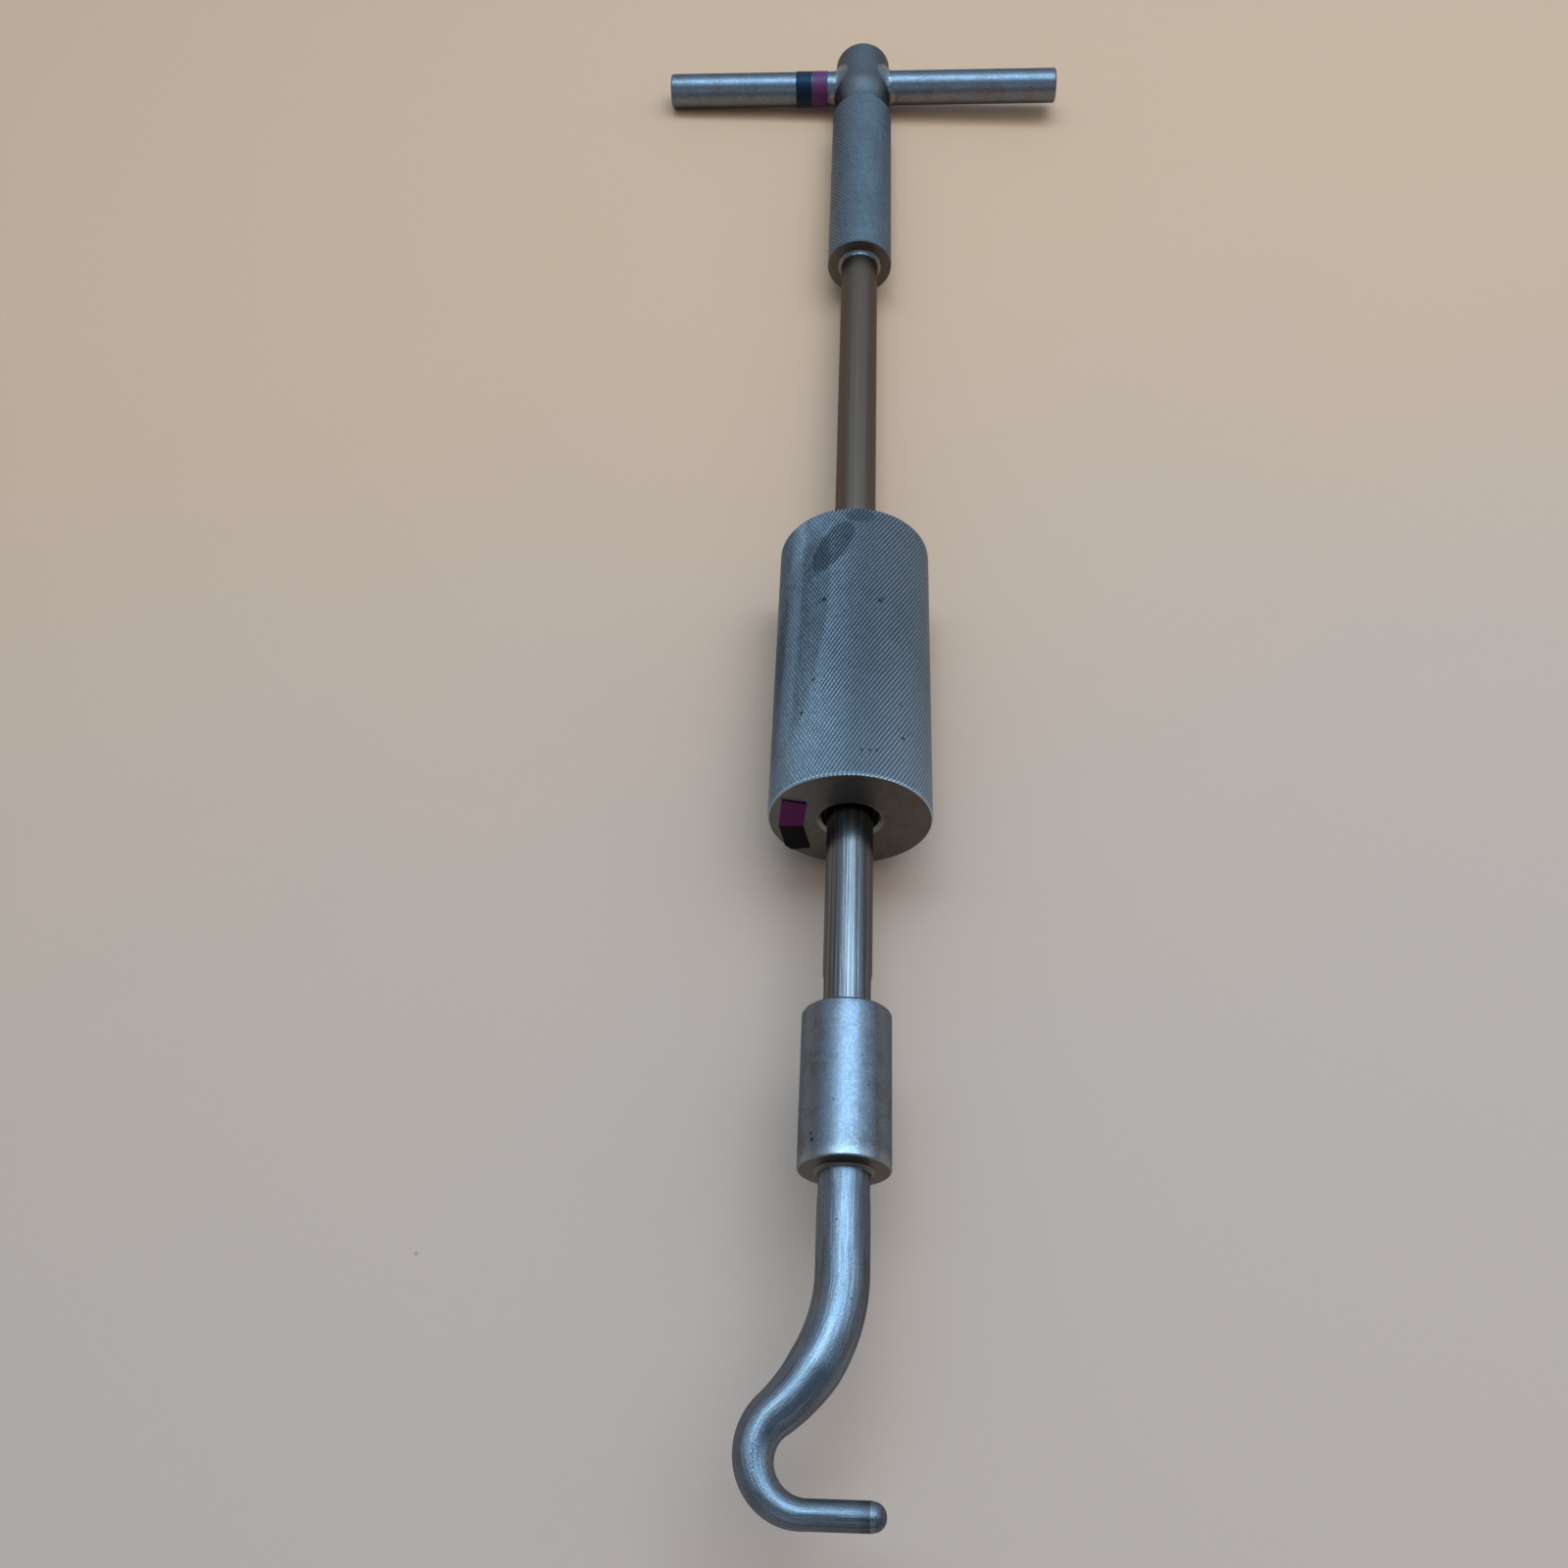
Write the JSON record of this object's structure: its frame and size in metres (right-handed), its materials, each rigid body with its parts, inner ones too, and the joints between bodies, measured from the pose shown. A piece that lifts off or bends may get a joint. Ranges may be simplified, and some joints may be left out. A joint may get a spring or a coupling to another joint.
{
  "type": "slap hammer",
  "caption": "Slap hammer for pulling: a bent hook on a guide rod, a knurled weight that slides between a striking collar and a knurled grip, and a cross handle.",
  "frame": {"origin": "where the rod's axis crosses the axis of the hook's tip, on the line of pull", "axes": "+Y along the rod towards the cross handle, +X the way the hook's tip points, +Z square to the plane of the hook and the cross bar"},
  "size_m": [0.1524, 0.5394, 0.0452],
  "materials": {
    "hook_steel": "satin bent bar with fine scratches",
    "satin_steel": "satin, turned",
    "polished_steel": "ground and polished, worn along its length",
    "knurled_steel": "diamond knurl, matt",
    "weld_steel": "dressed weld bead",
    "bush_plastic": "plain dark bearing plastic",
    "black_tape": "marking tape",
    "purple_tape": "marking tape"
  },
  "bodies": {
    "tool": {"hook": "hook_steel", "hook_weld": "weld_steel", "striking_collar": "satin_steel", "guide_rod": "polished_steel", "handle_grip": "knurled_steel", "rod_weld": "weld_steel", "cross_bar": "satin_steel", "left_bar_weld": "weld_steel", "right_bar_weld": "weld_steel", "black_band": "black_tape", "purple_band": "purple_tape"},
    "bushes": {"lower_bush": "bush_plastic", "upper_bush": "bush_plastic"},
    "weight": {"slide_weight": "knurled_steel", "purple_mark": "purple_tape", "black_mark": "black_tape"}
  },
  "joints": [
    {"name": "weight_slide", "type": "slide", "parent": "tool", "child": "bushes", "axis": [0, 1, 0], "range_m": [-0.058, 0.14025]},
    {"name": "weight_spin", "type": "hinge", "parent": "bushes", "child": "weight", "pos_m": [0, 0.22063, 0], "axis": [0, 1, 0], "continuous": true}
  ]
}
